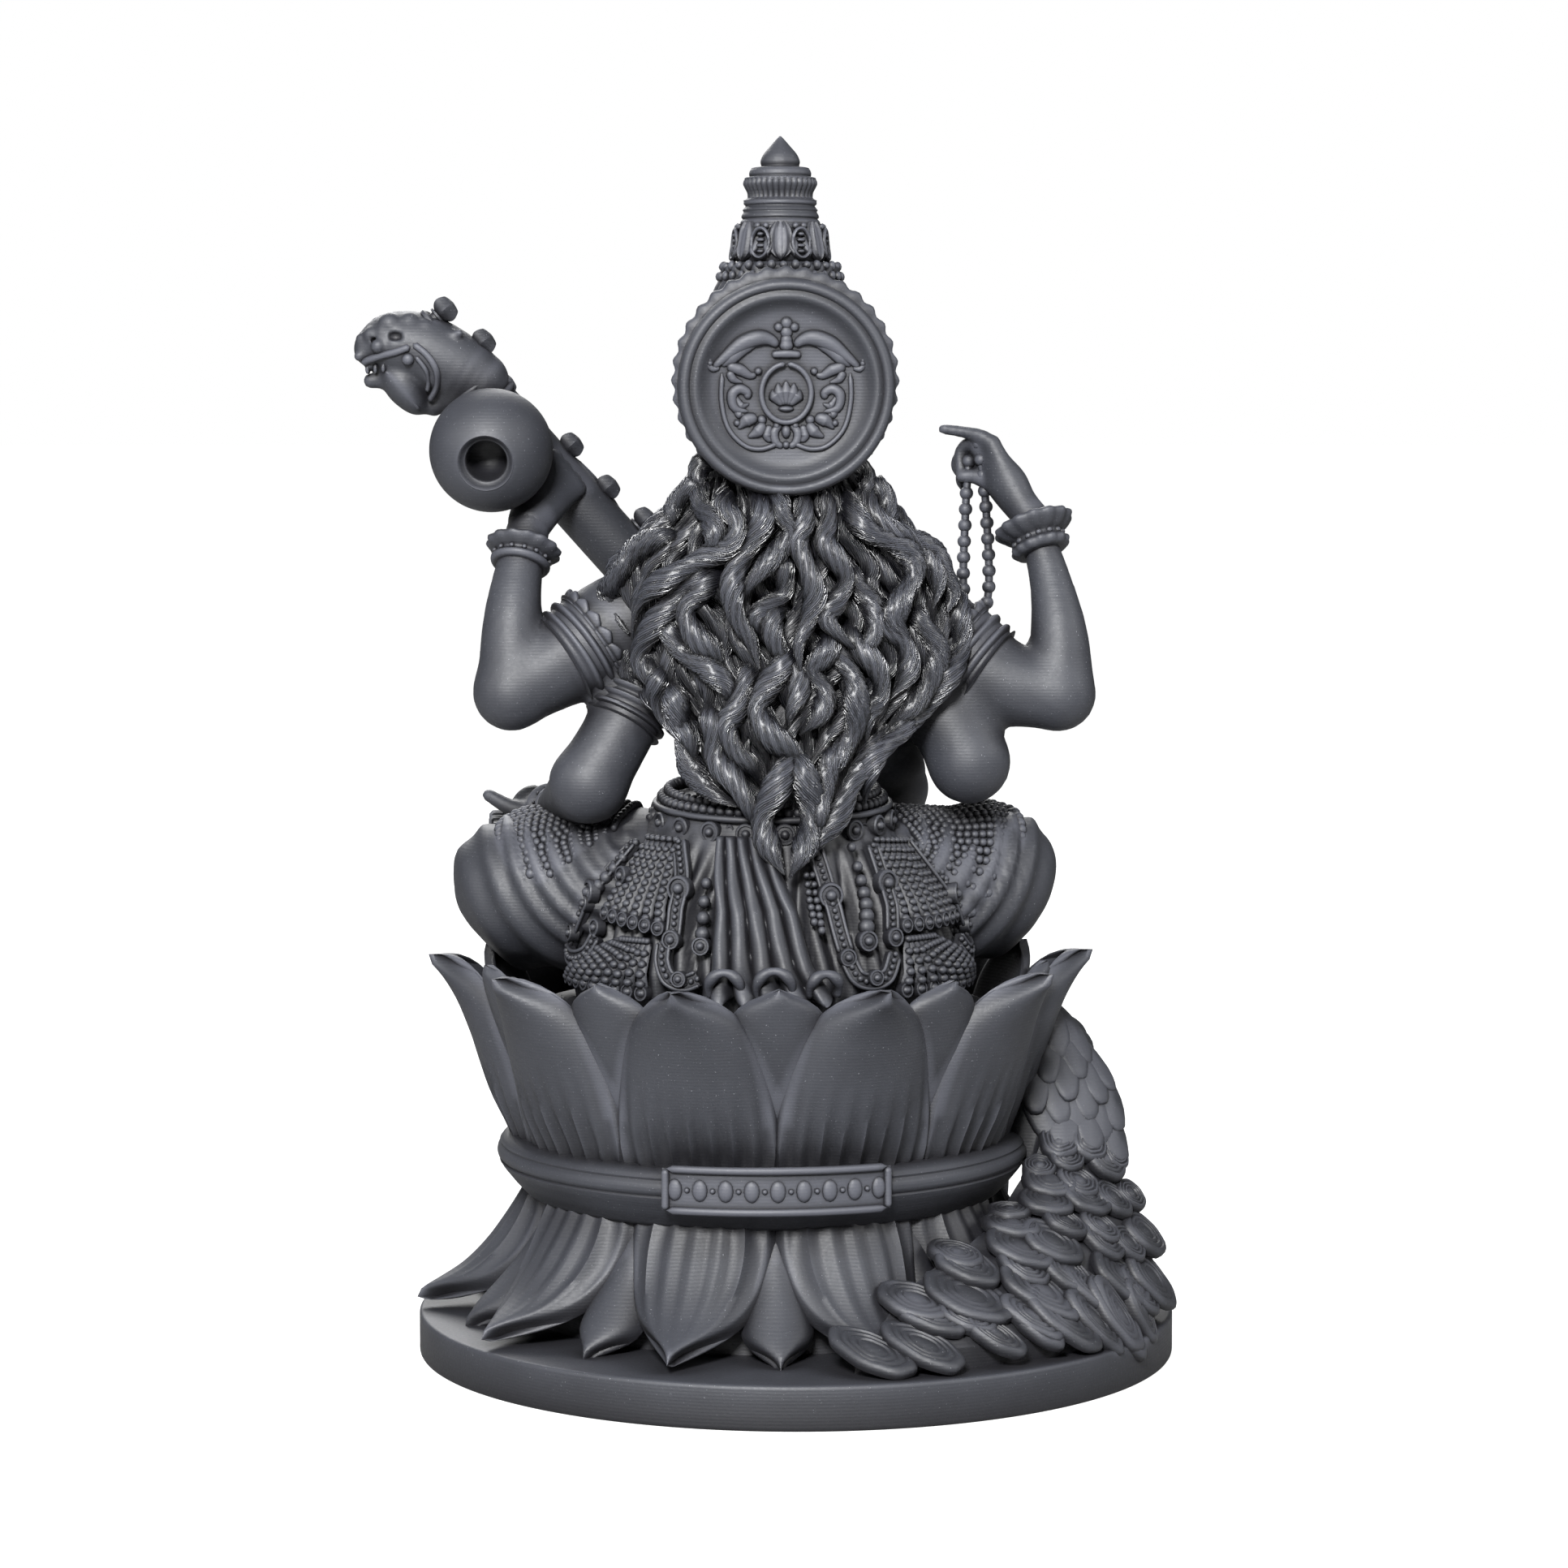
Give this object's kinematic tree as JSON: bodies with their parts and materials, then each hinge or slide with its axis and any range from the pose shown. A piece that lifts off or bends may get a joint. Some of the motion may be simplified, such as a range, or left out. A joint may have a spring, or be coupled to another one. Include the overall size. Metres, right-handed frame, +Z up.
{
  "type": "saraswati figure",
  "caption": "Four-armed goddess seated on a double lotus throne with a vina, rosary, book and peacock, on a round base, as one desk figure.",
  "frame": {"origin": "centre of the round base's underside, on the surface that the figure stands on", "axes": "+Z up, the figure faces -Y, +X is the figure's own left"},
  "size_m": [0.1012, 0.094, 0.15],
  "materials": {
    "print": "dark graphite grey printed plastic, satin, with fine layer lines"
  },
  "bodies": {
    "root": {"saraswati_figure": "print"}
  },
  "joints": []
}
